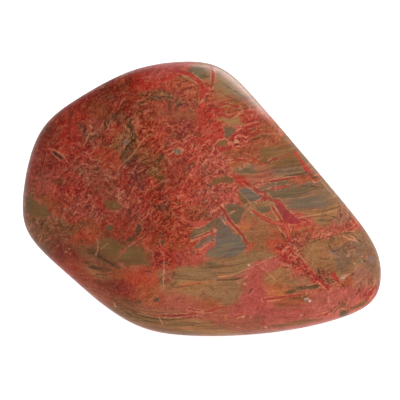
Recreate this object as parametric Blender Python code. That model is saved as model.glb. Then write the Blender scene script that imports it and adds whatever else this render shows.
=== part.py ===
"""Polished freeform boulder of red creek jasper: one solid stone on its own ground-flat foot.

Metres, +Z up. The origin is at the middle of the stone's footprint box, on the surface it rests on.
The viewer's side is -Y, and +X runs along the stone's length to its narrow end.
"""

import math

import bmesh
import bpy
from mathutils import Vector

MM = 0.001

# The flats that the grinder left, as (azimuth, elevation, distance).
# Azimuth turns from the viewer's side towards the narrow end, elevation is above the horizon, both
# in degrees. Distance is in millimetres, from the middle of the stone to where the flat would lie.
FLATS = {
    "long_slope": (107, 38, 52.8),
    "crown_right": (122, 54, 66.6),
    "crown": (180, 70, 63.5),
    "crown_left": (-126, 58, 63.2),
    "shoulder": (-109, 42, 79.0),
    "cheek_upper": (-95, 19, 72.4),
    "cheek": (-90, -4, 71.3),
    "undercut": (-67, -47, 50.1),
    "front_left": (-30, 10, 49.9),
    "front_right": (17, 22, 48.2),
    "front_low": (-2, -18, 50.7),
    "heel_left": (-31, -67, 52.0),
    "heel_front": (0, -68, 52.9),
    "heel_middle": (25, -68, 55.2),
    "heel_right": (46, -56, 67.5),
    "tip": (90, -2, 82.0),
    "tip_back": (128, -8, 69.5),
    "tip_keel": (122, -42, 62.0),
    "back": (178, 6, 51.6),
    "back_top": (-172, 40, 57.5),
    "back_left": (-140, 10, 58.5),
    "back_keel": (170, -42, 54.0),
    "left_keel": (-113, -34, 59.0),
}

# How crisply two flats meet: higher is crisper. Tumbling has rolled every edge of this stone.
EDGE_CRISPNESS = 16.0

# The stone is ground off level this far below its middle, to stand by itself. The rim of the foot
# is rolled like every other edge, over this height above and below the cut.
FOOT_BELOW_MIDDLE = 41.8 * MM
FOOT_ROLL = 1.5 * MM

# The box that is blown up into the stone: squares along each side, the stone's rough half lengths
# in millimetres, which keep the squares even, and how often the points are then slid to even out.
GRID = 26
BOX_HALVES = (75, 52, 56)
EVENING_ROUNDS = 12


def facing(azimuth, elevation):
    """Unit vector that looks the way a flat faces."""
    turn, tilt = math.radians(azimuth), math.radians(elevation)
    level = math.cos(tilt)
    return Vector((math.sin(turn) * level, -math.cos(turn) * level, math.sin(tilt)))


def flat_planes():
    """Each flat as its normal and its distance from the middle, in metres."""
    return [
        (facing(azimuth, elevation), distance * MM)
        for azimuth, elevation, distance in FLATS.values()
    ]


def reach(direction, planes):
    """How far the surface lies from the stone's middle in this direction."""
    total = 0.0
    for normal, distance in planes:
        toward = normal.dot(direction) / distance
        if toward > 0:
            total += toward**EDGE_CRISPNESS
    return total ** (-1 / EDGE_CRISPNESS)


def even_direction(corner):
    """Direction of a grid point on the box, spread so that squares stay even on the long stone."""
    return Vector([
        math.tan(value * math.pi / 4) * half for value, half in zip(corner, BOX_HALVES)
    ]).normalized()


def blown_up_box(planes):
    """A gridded box whose points are moved out to the stone's surface."""
    shape = bmesh.new()
    bmesh.ops.create_cube(shape, size=2.0)
    bmesh.ops.subdivide_edges(shape, edges=shape.edges[:], cuts=GRID - 1, use_grid_fill=True)
    for point in shape.verts:
        direction = even_direction(point.co)
        point.co = direction * reach(direction, planes)
    return shape


def middle_of_neighbours(point):
    """Mean place of the points that share an edge with this one."""
    neighbours = [edge.other_vert(point).co for edge in point.link_edges]
    return sum(neighbours, Vector()) / len(neighbours)


def even_out(shape, planes):
    """Slides the grid points along the surface until neighbouring squares are alike in size."""
    for _ in range(EVENING_ROUNDS):
        middles = [middle_of_neighbours(point) for point in shape.verts]
        for point, middle in zip(shape.verts, middles):
            direction = middle.normalized()
            point.co = direction * reach(direction, planes)


def grind_foot(shape):
    """Grinds the keel off level, and eases the height near the cut so that the rim is rolled."""
    for point in shape.verts:
        above = point.co.z + FOOT_BELOW_MIDDLE
        if above < -FOOT_ROLL:
            point.co.z = -FOOT_BELOW_MIDDLE
        elif above < FOOT_ROLL:
            point.co.z = (above + FOOT_ROLL) ** 2 / (4 * FOOT_ROLL) - FOOT_BELOW_MIDDLE


def centre_on_foot(shape):
    """Puts the origin at the middle of the footprint box, on the resting face."""
    low = [min(point.co[axis] for point in shape.verts) for axis in range(3)]
    high = [max(point.co[axis] for point in shape.verts) for axis in range(3)]
    middle = Vector(((low[0] + high[0]) / 2, (low[1] + high[1]) / 2, low[2]))
    bmesh.ops.translate(shape, verts=shape.verts[:], vec=-middle)


def jasper_material():
    """Red jasper under a satin hand polish."""
    material = bpy.data.materials.new("red_creek_jasper")
    material.use_nodes = True
    surface = material.node_tree.nodes["Principled BSDF"]
    surface.inputs["Base Color"].default_value = (0.29, 0.09, 0.05, 1.0)
    surface.inputs["Roughness"].default_value = 0.35
    surface.inputs["Metallic"].default_value = 0.0
    return material


def build_stone():
    planes = flat_planes()
    shape = blown_up_box(planes)
    even_out(shape, planes)
    grind_foot(shape)
    centre_on_foot(shape)
    bmesh.ops.recalc_face_normals(shape, faces=shape.faces[:])
    mesh = bpy.data.meshes.new("stone")
    shape.to_mesh(mesh)
    shape.free()
    mesh.shade_smooth()
    mesh.materials.append(jasper_material())
    stone = bpy.data.objects.new("stone", mesh)
    bpy.context.scene.collection.objects.link(stone)


def clear_scene():
    for old in list(bpy.data.objects):
        bpy.data.objects.remove(old, do_unlink=True)


clear_scene()
build_stone()
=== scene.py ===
# Red creek jasper freeform: the satin polished stone around its solid, patterned as photographed.
# Metres, +Z up. The viewer stands at -Y and the stone's narrow end points to +X.

import math
import bmesh
import bpy
import numpy as np
from mathutils import Matrix, Vector, noise


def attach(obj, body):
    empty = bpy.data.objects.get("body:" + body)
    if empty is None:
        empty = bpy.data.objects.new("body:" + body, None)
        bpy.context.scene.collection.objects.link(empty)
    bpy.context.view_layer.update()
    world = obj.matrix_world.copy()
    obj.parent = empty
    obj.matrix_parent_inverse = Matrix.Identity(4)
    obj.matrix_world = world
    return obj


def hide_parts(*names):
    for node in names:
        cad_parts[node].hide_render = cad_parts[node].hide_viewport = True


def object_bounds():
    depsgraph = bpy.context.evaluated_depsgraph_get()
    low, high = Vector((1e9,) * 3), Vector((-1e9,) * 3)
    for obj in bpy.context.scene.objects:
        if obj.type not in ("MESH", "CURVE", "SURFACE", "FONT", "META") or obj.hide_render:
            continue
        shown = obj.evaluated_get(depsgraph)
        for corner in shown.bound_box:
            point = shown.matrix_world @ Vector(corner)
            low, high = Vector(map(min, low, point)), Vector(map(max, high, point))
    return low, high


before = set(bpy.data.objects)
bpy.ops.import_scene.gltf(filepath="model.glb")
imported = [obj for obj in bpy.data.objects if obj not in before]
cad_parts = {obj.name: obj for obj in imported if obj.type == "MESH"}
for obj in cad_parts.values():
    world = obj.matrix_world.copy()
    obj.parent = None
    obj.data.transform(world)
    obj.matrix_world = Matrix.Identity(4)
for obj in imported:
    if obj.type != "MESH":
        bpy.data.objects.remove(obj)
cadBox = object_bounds()
mm = 0.001

# Colours of the jasper in daylight, as red, green and blue out of 255
tints = {
    "crimson": (176, 38, 25),
    "darkCrimson": (136, 32, 18),
    "maroon": (116, 32, 20),
    "rose": (180, 74, 60),
    "brick": (162, 50, 26),
    "rust": (160, 74, 34),
    "orange": (186, 100, 52),
    "flame": (180, 62, 32),
    "ochre": (158, 112, 66),
    "tan": (140, 108, 70),
    "sienna": (148, 96, 56),
    "brown": (128, 78, 44),
    "umber": (98, 58, 34),
    "olive": (118, 82, 42),
    "darkOlive": (80, 62, 35),
    "greenSlate": (100, 84, 56),
    "slate": (107, 92, 74),
    "blueSlate": (118, 110, 100),
    "mutedPink": (162, 80, 60),
    "pink": (190, 98, 72),
    "palePink": (212, 140, 104),
    "cream": (226, 194, 160),
    "white": (234, 216, 200),
    "ink": (50, 34, 22),
    "shade": (95, 17, 6),
    "scarlet": (192, 78, 56),  # the bright filaments
    "wine": (148, 40, 34),
    "magenta": (150, 42, 48),
    "fawn": (156, 106, 80),
    "greyTan": (122, 98, 72),
    "oxblood": (140, 46, 28),
    "russet": (146, 60, 36),
    "mauve": (124, 52, 48),
    "mauveGrey": (128, 100, 86),
    "bone": (204, 176, 146),
    "coolSlate": (98, 92, 80),
    "duskRose": (175, 74, 67),
    "dustyPink": (184, 90, 78),
}

camera = {
    "aim": (0, 0, 0.0489),  # what the photograph is centred on
    "elevation": 20.0,  # degrees that the view looks down
    "distance": 0.516,
    "lens": 108.0,  # millimetres, on a film this wide
    "film": 36.0,
    "pixels": 400,  # the photograph is this many pixels a side
    "clipStart": 0.01,
}

# Light boxes of the studio: azimuth and elevation seen from the stone, how far, how wide, how bright
lightBoxes = {
    "keyFront": {"azimuth": 52, "elevation": 30, "away": 1.10, "wide": 1.20, "watts": 8.3},
    "glareAbove": {"azimuth": 122, "elevation": 43, "away": 0.60, "wide": 0.52, "watts": 2.5},
}
studio = {
    "skyBrightness": (0.22, 0.90),  # in front, and behind where the white sweep rises
    "sweepStarts": (0.10, 0.75),
    "floorHalf": 4.0,
    "floorShade": 0.35,
    "floorGlow": 0.97,  # the table top is lit from below, as for a cut-out
    "floorRoughness": 0.7,
}


# Shader value of one of the tints
def linear(name):
    return [(c / 255 / 12.92) if c <= 10 else ((c / 255 + 0.055) / 1.055) ** 2.4 for c in tints[name]]


def facing(azimuth, elevation):
    turn, tilt = math.radians(azimuth), math.radians(elevation)
    level = math.cos(tilt)
    return Vector((math.sin(turn) * level, -math.cos(turn) * level, math.sin(tilt)))


viewBack = facing(0, camera["elevation"])
viewRight = Vector((1, 0, 0))
viewUp = viewBack.cross(viewRight)
viewEye = Vector(camera["aim"]) + viewBack * camera["distance"]
viewScale = camera["lens"] / camera["film"] * camera["pixels"]


def linked(name, data):
    made = bpy.data.objects.new(name, data)
    bpy.context.scene.collection.objects.link(made)
    return made


def setUpCamera():
    data = bpy.data.cameras.new("photoView")
    data.lens = camera["lens"]
    data.sensor_width = camera["film"]
    data.clip_start = camera["clipStart"]
    eye = linked("photoView", data)
    turn = Matrix((viewRight, viewUp, viewBack)).transposed().to_4x4()
    eye.matrix_world = Matrix.Translation(viewEye) @ turn
    bpy.context.scene.camera = eye


def setUpStudio():
    world = bpy.data.worlds.new("studio")
    world.use_nodes = True
    w = Wiring(world.node_tree)
    sky = world.node_tree.nodes["Background"]
    sky.inputs["Color"].default_value = (1, 1, 1, 1)
    behind = w.dot(w.add("ShaderNodeTexCoord").outputs["Generated"], (0, 1, 0))
    w.put(sky.inputs["Strength"], w.ease(behind, *studio["sweepStarts"], *studio["skyBrightness"]))
    bpy.context.scene.world = world
    for name, box in lightBoxes.items():
        data = bpy.data.lights.new(name, "AREA")
        data.shape = "SQUARE"
        data.size = box["wide"]
        data.energy = box["watts"]
        toward = facing(box["azimuth"], box["elevation"])
        place = Matrix.Translation(Vector(camera["aim"]) + toward * box["away"])
        linked(name, data).matrix_world = place @ toward.to_track_quat("Z", "Y").to_matrix().to_4x4()
    half = studio["floorHalf"]
    corners = [(-half, -half, 0), (half, -half, 0), (half, half, 0), (-half, half, 0)]
    mesh = bpy.data.meshes.new("floor")
    mesh.from_pydata(corners, [], [(0, 1, 2, 3)])
    floor = linked("floor", mesh)
    paper = bpy.data.materials.new("paleFloor")
    paper.use_nodes = True
    surface = paper.node_tree.nodes["Principled BSDF"]
    shade = studio["floorShade"]
    surface.inputs["Base Color"].default_value = (shade, shade, shade, 1)
    surface.inputs["Roughness"].default_value = studio["floorRoughness"]
    surface.inputs["Emission Color"].default_value = (1, 1, 1, 1)
    surface.inputs["Emission Strength"].default_value = studio["floorGlow"]
    mesh.materials.append(paper)
    bpy.context.scene.view_settings.view_transform = "Standard"
    bpy.context.scene.view_settings.look = "None"
    print("studio:", len(lightBoxes), "light boxes and a pale floor")


# What runs through a zone
textureParts = ("shreds", "threads", "slivers", "bed", "broken")
textures = {
    "plain": (0.25, 0.10, 0.05, 0.05, 0),
    "mottled": (0.60, 0.25, 0.30, 0.00, 0),
    "shreds": (1.00, 0.45, 0.30, 0.00, 0),
    "threaded": (1.00, 1.00, 0.25, 0.00, 0),
    "slivered": (0.90, 0.50, 1.00, 0.00, 0),
    "speckled": (0.60, 0.70, 0.80, 0.00, 0),
    "flecked": (0.35, 0.25, 0.45, 0.10, 0),
    "beds": (0.00, 0.05, 0.10, 1.00, 0),
    "softBeds": (0.20, 0.15, 0.10, 0.50, 0),
    "bedWeb": (0.60, 0.55, 0.30, 0.60, 0),
    "breccia": (0.35, 0.30, 0.15, 0.75, 1),
}

# Soft zones of the photographed side: tint, middle and half widths in photograph pixels, turn in
# degrees anticlockwise, and texture
zones = {
    # Left face
    "topLeftRim": ("crimson", 56, 117, 14, 6, 45, "mottled"),
    "rimUmber": ("crimson", 82, 100, 12, 4, 35, "mottled"),
    "leftUpper": ("darkCrimson", 46, 132, 12, 12, 50, "mottled"),
    "leftRim": ("brick", 32, 172, 5, 18, -8, "mottled"),
    "leftCrimson": ("crimson", 62, 142, 14, 12, 20, "mottled"),
    "leftMuted": ("mutedPink", 88, 127, 8, 10, 0, "threaded"),
    "leftMiddle": ("crimson", 74, 155, 12, 10, 0, "shreds"),
    "leftMaroon": ("darkCrimson", 46, 160, 10, 10, 0, "mottled"),
    "leftPlain": ("rose", 48, 182, 10, 10, 0, "mottled"),
    "flamePlain": ("flame", 107, 157, 8, 7, 0, "mottled"),
    "cheekUpper": ("mutedPink", 88, 168, 14, 8, 0, "threaded"),
    "cheekBrick": ("crimson", 70, 182, 14, 12, 0, "shreds"),
    "cheekOlive": ("russet", 101, 188, 6, 8, -70, "mottled"),
    "cheekRust": ("rust", 50, 201, 12, 6, -30, "mottled"),
    "cheekFlame": ("flame", 64, 210, 11, 7, -30, "mottled"),
    "leftOlive": ("olive", 31, 212, 8, 18, 5, "plain"),
    "leftOliveLow": ("umber", 44, 226, 12, 8, -30, "speckled"),
    "leftGrey": ("slate", 57, 221, 8, 4, -10, "speckled"),
    "cheekThreads": ("rose", 88, 210, 12, 9, -30, "threaded"),
    "cheekRose": ("crimson", 98, 203, 5, 5, 0, "mottled"),
    "cheekOrange": ("rust", 92, 228, 11, 6, 0, "mottled"),
    "cheekLowPink": ("flame", 82, 238, 9, 6, 0, "mottled"),
    "leftLowBrown": ("brown", 60, 236, 14, 5, -10, "mottled"),
    "leftLowUmber": ("umber", 48, 246, 10, 8, -45, "softBeds"),
    "leftLowMaroon": ("maroon", 60, 249, 15, 10, -40, "plain"),
    "leftHeel": ("brick", 80, 272, 18, 8, -38, "softBeds"),
    "heelOlive": ("brown", 100, 256, 18, 8, -25, "softBeds"),
    "heelOliveTop": ("olive", 132, 256, 16, 10, 0, "plain"),
    "heelRust": ("rust", 112, 272, 12, 6, -10, "softBeds"),
    "heelBrown": ("ochre", 95, 274, 12, 6, -20, "softBeds"),
    "heelMaroon": ("maroon", 104, 287, 10, 8, -30, "softBeds"),
    "heelCrimson": ("darkCrimson", 122, 292, 13, 8, -10, "plain"),
    "heelFlame": ("flame", 133, 276, 14, 7, -10, "plain"),
    "heelBottom": ("mutedPink", 96, 291, 12, 5, -38, "softBeds"),
    "topLeftScarlet": ("crimson", 84, 118, 10, 5, 30, "mottled"),
    "cheekScarlet": ("scarlet", 66, 208, 8, 5, -30, "threaded"),
    # Top
    "crownDark": ("darkCrimson", 106, 98, 16, 8, 20, "mottled"),
    "crownUmber": ("oxblood", 122, 88, 12, 5, 20, "mottled"),
    "crownRust": ("rust", 100, 110, 8, 6, 0, "mottled"),
    "crownBrick": ("darkCrimson", 118, 106, 12, 8, 0, "mottled"),
    "crownShade": ("umber", 114, 121, 9, 6, 0, "shreds"),
    "crownOlive": ("russet", 135, 98, 12, 6, -10, "slivered"),
    "crownFlame": ("russet", 148, 111, 12, 6, 0, "shreds"),
    "topBrick": ("crimson", 142, 83, 16, 6, 12, "mottled"),
    "topOliveBand": ("olive", 158, 98, 12, 3, -10, "slivered"),
    "topCrimson": ("crimson", 160, 82, 12, 8, -20, "mottled"),
    "topRustBand": ("russet", 167, 116, 18, 5, -3, "softBeds"),
    "topRust": ("rust", 186, 86, 12, 6, 0, "slivered"),
    "topMaroon": ("wine", 177, 94, 5, 3, 0, "plain"),
    "topPink": ("crimson", 172, 70, 12, 4, 0, "plain"),
    "topOlive": ("tan", 206, 76, 8, 5, -10, "softBeds"),
    "topTan": ("tan", 228, 84, 12, 10, -40, "softBeds"),
    "slopeTan": ("sienna", 232, 95, 14, 4, -20, "beds"),
    "slopeRust": ("rust", 240, 104, 16, 6, -15, "beds"),
    "slopeRed": ("flame", 238, 113, 14, 4, 5, "bedWeb"),
    "slopeOlive": ("ochre", 232, 121, 8, 3, 0, "softBeds"),
    "flameTop": ("crimson", 205, 92, 4, 7, 0, "mottled"),
    "knotOlive": ("russet", 193, 106, 11, 5, 20, "slivered"),
    "redMass": ("crimson", 213, 122, 9, 14, 30, "mottled"),
    "slopeWeb": ("crimson", 246, 131, 14, 8, 30, "threaded"),
    "slopeWebRust": ("rust", 262, 130, 10, 8, 30, "bedWeb"),
    "crownRim": ("crimson", 104, 87, 18, 3.5, 28, "shreds"),
    "lowMaroonShade": ("maroon", 108, 100, 8, 4, 20, "shreds"),
    "topVeinSpeckle": ("rust", 202, 98, 9, 7, 10, "threaded"),
    # Middle
    "middleOchre": ("ochre", 124, 141, 12, 8, -20, "slivered"),
    "middleDark": ("brown", 134, 151, 7, 4, 40, "mottled"),
    "middleOlive": ("olive", 154, 162, 7, 12, 10, "slivered"),
    "middleBrick": ("brick", 165, 140, 16, 12, 0, "shreds"),
    "middleMaroon": ("maroon", 180, 132, 8, 8, 0, "shreds"),
    "middleRed": ("crimson", 193, 150, 12, 12, 0, "shreds"),
    "middleUmber": ("oxblood", 172, 175, 7, 14, 0, "mottled"),
    "middleCrimson": ("crimson", 146, 196, 12, 14, 30, "threaded"),
    "centre": ("crimson", 182, 198, 12, 14, 0, "shreds"),
    "centreRose": ("crimson", 202, 152, 8, 8, 0, "threaded"),
    "centreRight": ("rose", 212, 168, 12, 10, 0, "threaded"),
    "centrePink": ("rose", 204, 196, 11, 10, 0, "threaded"),
    "centreFlame": ("flame", 196, 184, 8, 6, 0, "shreds"),
    "centreRust": ("rust", 192, 213, 10, 5, 0, "shreds"),
    "lowBrick": ("brick", 158, 226, 12, 12, 20, "shreds"),
    "lowFlame": ("flame", 174, 236, 12, 8, 0, "shreds"),
    "lowOrange": ("rust", 176, 246, 7, 4, 0, "mottled"),
    "lowRust": ("flame", 148, 244, 9, 6, 0, "mottled"),
    "lowRose": ("rose", 190, 258, 9, 5, 0, "mottled"),
    "lowCrimson": ("crimson", 168, 260, 9, 9, 0, "threaded"),
    "roseLeft": ("rose", 128, 204, 10, 10, 30, "threaded"),
    "flameLeft": ("brick", 124, 230, 8, 10, 10, "mottled"),
    "brickLeft": ("brick", 108, 222, 8, 8, 0, "mottled"),
    "middleCrimsonKnot": ("crimson", 115, 129, 6, 4, 0, "threaded"),
    "middleBrickKnot": ("brick", 105, 134, 6, 5, 0, "shreds"),
    "centreMauve": ("mauve", 140, 182, 6, 10, 10, "shreds"),
    "centreMauveLow": ("mauve", 162, 200, 6, 7, 0, "shreds"),
    # Low middle
    "beddingOlive": ("tan", 198, 274, 22, 7, 5, "beds"),
    "beddingOliveRight": ("tan", 240, 262, 18, 6, 10, "beds"),
    "beddingDark": ("brown", 173, 277, 6, 7, 0, "slivered"),
    "beddingOchre": ("ochre", 190, 289, 22, 5, 3, "softBeds"),
    "beddingBrown": ("tan", 220, 294, 16, 7, 8, "softBeds"),
    "lowPink": ("mutedPink", 180, 302, 14, 6, 5, "softBeds"),
    "lowOrangeBrown": ("rust", 206, 303, 12, 5, 5, "softBeds"),
    "heelSpots": ("rust", 150, 295, 10, 8, -20, "flecked"),
    "bottomOlive": ("brown", 128, 306, 14, 5, -22, "softBeds"),
    "bottomPink": ("mutedPink", 155, 312, 20, 4, -10, "beds"),
    "bottomBrown": ("olive", 150, 321, 20, 5, -15, "beds"),
    "bottomTan": ("ochre", 190, 324, 20, 5, 0, "beds"),
    "bottomRed": ("mutedPink", 202, 314, 14, 4, -3, "softBeds"),
    "bottomRight": ("ochre", 218, 329, 18, 4, 2, "beds"),
    "beddingCool": ("greenSlate", 210, 266, 12, 3, 8, "beds"),
    "bottomUmber": ("umber", 128, 300, 10, 4, -22, "softBeds"),
    # The crimson wedge and what lies to its right
    "wedge": ("duskRose", 252, 297, 11, 10, 0, "plain"),
    "wedgeTop": ("mutedPink", 262, 276, 9, 9, 30, "plain"),
    "wedgeLow": ("duskRose", 246, 312, 12, 7, 0, "softBeds"),
    "wedgeBottom": ("mutedPink", 250, 323, 16, 6, 0, "softBeds"),
    "roseBand": ("rose", 265, 264, 14, 5, 25, "plain"),
    "lowMuted": ("duskRose", 285, 313, 20, 7, 3, "softBeds"),
    "lowMutedRight": ("dustyPink", 318, 308, 14, 9, 8, "softBeds"),
    "tanPocket": ("ochre", 276, 275, 10, 6, 5, "plain"),
    "rustPocket": ("orange", 272, 289, 12, 6, 5, "softBeds"),
    "rustFold": ("tan", 300, 280, 12, 5, 15, "softBeds"),
    "rustStreak": ("rust", 300, 303, 16, 4, 8, "beds"),
    "cornerRose": ("dustyPink", 342, 299, 14, 9, 20, "flecked"),
    "cornerCrimson": ("duskRose", 368, 293, 8, 7, 40, "mottled"),
    "cornerRust": ("fawn", 364, 283, 12, 5, 10, "mottled"),
    # Right
    "bandsOlive": ("olive", 286, 158, 14, 7, -10, "beds"),
    "bandsTan": ("greyTan", 286, 172, 20, 5, 8, "beds"),
    "bandsPink": ("mutedPink", 262, 176, 12, 6, 5, "beds"),
    "bandsOrange": ("rust", 303, 178, 9, 3, 5, "softBeds"),
    "bandsSlate": ("slate", 288, 190, 16, 6, 7, "beds"),
    "bandsOliveRight": ("greyTan", 324, 196, 12, 8, 0, "beds"),
    "bandsTanLow": ("tan", 296, 199, 10, 3, 5, "beds"),
    "bandsSlateLow": ("slate", 304, 206, 14, 4, 3, "softBeds"),
    "bandsOchre": ("ochre", 322, 212, 16, 4, 5, "beds"),
    "bandsFlame": ("rose", 302, 221, 8, 4, 0, "softBeds"),
    "bandsRust": ("flame", 302, 232, 14, 6, 5, "bedWeb"),
    "bandsPinkRight": ("pink", 326, 230, 15, 4, 5, "mottled"),
    "bandsCrimson": ("mutedPink", 350, 226, 5, 3, 20, "mottled"),
    "rimRust": ("fawn", 349, 213, 6, 8, -50, "flecked"),
    "slopeCrimson": ("mutedPink", 296, 244, 12, 9, 0, "threaded"),
    "slopePink": ("pink", 300, 272, 10, 9, -30, "mottled"),
    "tipOchre": ("ochre", 320, 250, 14, 8, 5, "softBeds"),
    "tipBrown": ("ochre", 338, 264, 16, 6, 8, "softBeds"),
    "tipTan": ("greyTan", 362, 248, 10, 10, -50, "plain"),
    "tipEnd": ("greyTan", 374, 266, 6, 14, 0, "plain"),
    "tipRust": ("fawn", 362, 276, 9, 6, 10, "plain"),
    "tipDendrites": ("ochre", 342, 240, 14, 5, 8, "flecked"),
    "tipFlecked": ("olive", 325, 275, 8, 7, -30, "slivered"),
    "tipLowRust": ("rust", 345, 286, 9, 4, 10, "mottled"),
    "tipDarkSpeckle": ("brown", 350, 246, 8, 4, -50, "flecked"),
    "tipWarm": ("rust", 350, 281, 7, 4, 10, "flecked"),
    "cornerTop": ("fawn", 370, 280, 7, 5, 0, "flecked"),
    "bandsPale": ("tan", 250, 170, 10, 5, -20, "softBeds"),
    "bandsUpper": ("rust", 245, 164, 10, 3, 5, "softBeds"),
    "bandsTop": ("rust", 243, 153, 12, 4, 0, "bedWeb"),
    # Around the veins
    "veinOchre": ("sienna", 264, 226, 10, 8, -40, "plain"),
    "veinOlive": ("sienna", 260, 238, 8, 9, 0, "softBeds"),
    "veinRust": ("flame", 275, 238, 8, 8, -50, "softBeds"),
    "veinTan": ("tan", 262, 210, 8, 4, 10, "softBeds"),
    "hollowOlive": ("tan", 258, 257, 12, 5, 20, "softBeds"),
}

# The rest of the stone: tint, azimuth and elevation that a zone faces, spread in degrees, texture
farZones = {
    "leftCheek": ("brick", -72, 12, 22, "shreds"),
    "leftCheekLow": ("olive", -76, -10, 15, "softBeds"),
    "leftShoulder": ("crimson", -100, 40, 24, "shreds"),
    "leftKeel": ("mutedPink", -80, -40, 24, "softBeds"),
    "leftBroken": ("ochre", -104, 6, 17, "breccia"),
    "backLeft": ("crimson", -132, 24, 20, "shreds"),
    "backLeftLow": ("rust", -135, -14, 20, "bedWeb"),
    "backLeftMaroon": ("darkCrimson", -150, 48, 16, "shreds"),
    "backTop": ("brick", 180, 62, 22, "threaded"),
    "backTopRust": ("russet", 150, 60, 16, "shreds"),
    "backBroken": ("tan", -168, 14, 20, "breccia"),
    "back": ("tan", 170, -4, 17, "beds"),
    "backSlate": ("slate", 160, -16, 13, "beds"),
    "backRose": ("rose", 178, 34, 12, "bedWeb"),
    "backRight": ("ochre", 136, -4, 18, "beds"),
    "backSlope": ("flame", 132, 44, 18, "breccia"),
    "backSlopeTan": ("tan", 146, 22, 15, "beds"),
    "backSlopeOlive": ("olive", 120, 22, 13, "breccia"),
    "tip": ("greyTan", 92, 4, 18, "softBeds"),
    "tipRust": ("fawn", 108, -12, 18, "breccia"),
    "tipKeel": ("crimson", 100, -40, 22, "bedWeb"),
    "backKeel": ("rust", -170, -38, 24, "breccia"),
    "backKeelRose": ("mutedPink", 150, -44, 20, "softBeds"),
    "under": ("brown", 0, -88, 26, "softBeds"),
    "underRed": ("crimson", -60, -78, 20, "bedWeb"),
    "frontKeel": ("mutedPink", 0, -55, 26, "beds"),
    "crown": ("brick", -60, 75, 24, "shreds"),
    "crownTan": ("tan", 70, 62, 20, "softBeds"),
    "slope": ("olive", 98, 34, 18, "beds"),
    "slopeRust": ("rust", 110, 52, 18, "breccia"),
    "backOliveKnot": ("olive", -150, 36, 9, "slivered"),
    "backOchreKnot": ("ochre", 166, 50, 8, "slivered"),
    "backMaroonKnot": ("maroon", -172, 66, 9, "shreds"),
    "backTanKnot": ("brown", -178, 50, 6, "flecked"),
    "leftOliveKnot": ("brown", -112, 30, 8, "slivered"),
    "leftRoseKnot": ("rose", -90, 30, 9, "threaded"),
    "leftUmberKnot": ("umber", -98, 56, 8, "slivered"),
    "backFlameKnot": ("flame", -140, 4, 9, "plain"),
    "backSliverKnot": ("greenSlate", -130, 34, 6, "slivered"),
    "leftSlateKnot": ("slate", -120, 12, 7, "flecked"),
    "crownKnot": ("ochre", -140, 72, 9, "slivered"),
    "leftKeelBroken": ("olive", -104, -26, 14, "breccia"),
    "leftKeelCrimson": ("crimson", -60, -30, 12, "bedWeb"),
    "leftCheekKnot": ("flame", -84, 22, 10, "shreds"),
    "leftTopBroken": ("brick", -112, 54, 12, "breccia"),
    "backTopBroken": ("russet", -165, 50, 11, "breccia"),
    "backTopScarlet": ("scarlet", 162, 70, 11, "threaded"),
    "backLeftOlive": ("olive", -128, 6, 10, "breccia"),
}
zoneSoftness = {
    "contrast": 1.6,  # higher gives firmer borders between zones
    # How far borders wander, in photograph pixels, over how many millimetres, and a shift between both
    "warp": ((7.0, 11.0, 0.0), (2.5, 3.5, 7.7)),
    "farFacing": 0.35,  # how much a zone on the other sides keeps to the flat that it faces
    "farWarp": ((0.28, 18.0, 3.3), (0.13, 6.0, 3.3)),  # the same for the other sides, as a share
    "least": 1e-9,  # weight of a zone far off, so that no point is left without one
}

# Washes with soft borders: tint, texture, softness in millimetres, corners in photograph pixels
washes = {
    "wedgeGlow": ("pink", "plain", 2.2, [(262, 281), (267, 284), (274, 290), (281, 298), (272, 300),
        (264, 292)]),
    "wedge": ("duskRose", "plain", 2.4, [(238, 300), (242, 287), (249, 277), (257, 273), (261, 280),
        (263, 290), (271, 299), (270, 308), (252, 315), (239, 318), (235, 313), (236, 306)]),
    "wedgeCore": ("duskRose", "plain", 2.2, [(250, 302), (253, 294), (258, 287), (263, 294), (267, 302),
        (256, 309)]),
    "roseBand": ("dustyPink", "plain", 0.9, [(232, 275), (245, 269), (256, 265), (266, 260), (278, 255),
        (282, 260), (272, 266), (258, 271), (244, 276), (236, 279)]),
    "tanPocket": ("ochre", "plain", 1.2, [(264, 276), (270, 269), (282, 267), (289, 272), (288, 280),
        (276, 283), (266, 281)]),
    "lowFlame": ("mutedPink", "plain", 3.5, [(162, 294), (172, 291), (188, 299), (200, 303), (206, 308),
        (196, 312), (178, 312), (162, 308)]),
    "tipGrey": ("greyTan", "softBeds", 2.2, [(328, 252), (344, 250), (352, 250), (353, 264), (344, 270),
        (334, 268)]),
    "leftSpeckle": ("olive", "speckled", 2.5, [(24, 196), (32, 200), (40, 207), (48, 215), (58, 220),
        (68, 222), (75, 225), (77, 230), (68, 233), (54, 232), (48, 237), (40, 241), (32, 238), (26, 226)]),
    "broadBand": ("crimson", "shreds", 0.9, [(276, 240), (283, 240), (292, 246), (302, 258), (313, 268),
        (322, 279), (330, 289), (324, 290), (314, 284), (306, 276), (296, 272), (290, 262), (282, 252),
        (275, 246)]),
    "orangeKnot": ("flame", "threaded", 0.8, [(245, 251), (246, 247), (248, 243.5), (256, 243), (258, 246),
        (253, 250), (248, 253)]),
}

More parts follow.
